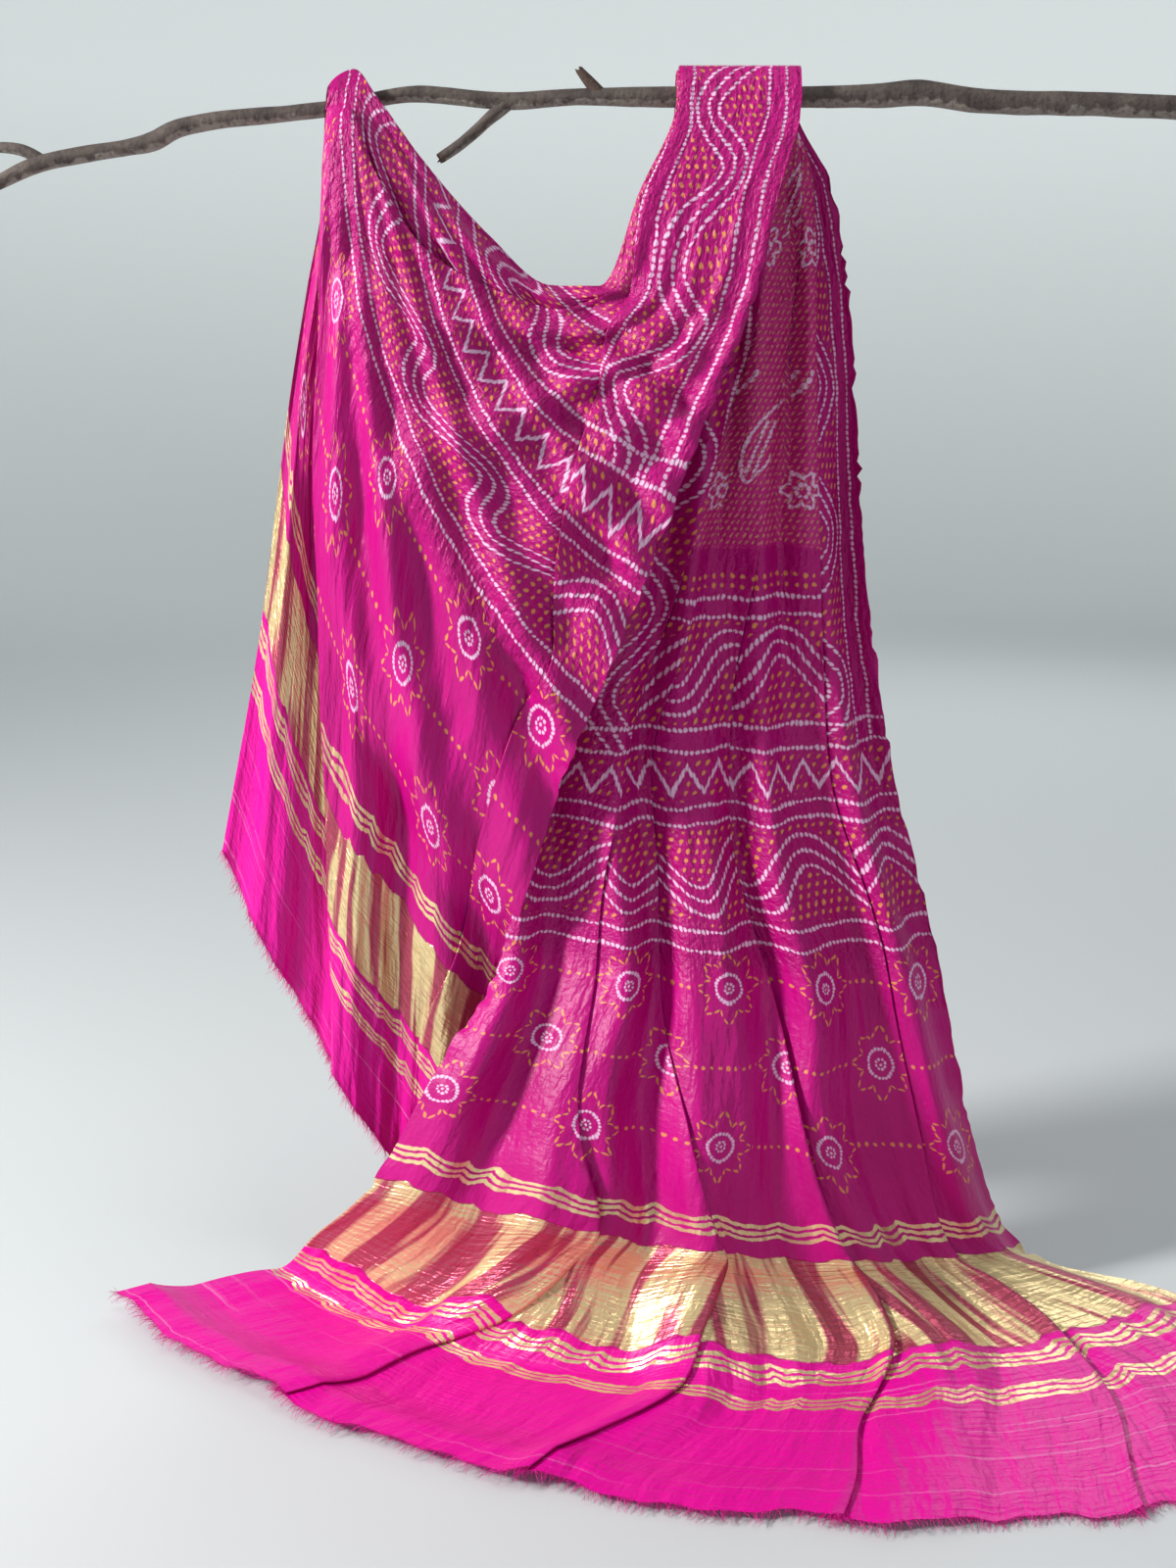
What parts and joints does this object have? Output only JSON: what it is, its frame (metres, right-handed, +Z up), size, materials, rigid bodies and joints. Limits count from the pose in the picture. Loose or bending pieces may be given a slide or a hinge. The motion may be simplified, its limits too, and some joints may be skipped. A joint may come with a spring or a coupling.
{
  "type": "silk dupatta cloth draped over a tree branch",
  "caption": "Long tie-dyed silk dupatta with woven gold bands, draped in soft pleats over a bare branch, with one end spread on the floor and the other hanging in a swag.",
  "frame": {"origin": "on the floor, under the middle of the whole object", "axes": "+X along the branch to the right as seen from the front, +Y to the back, +Z up"},
  "size_m": [1.1322, 0.4061, 1.0465],
  "materials": {
    "silk": "satin",
    "bark": "rough"
  },
  "bodies": {
    "root": {"cloth": "silk", "branch": "bark"}
  },
  "joints": []
}
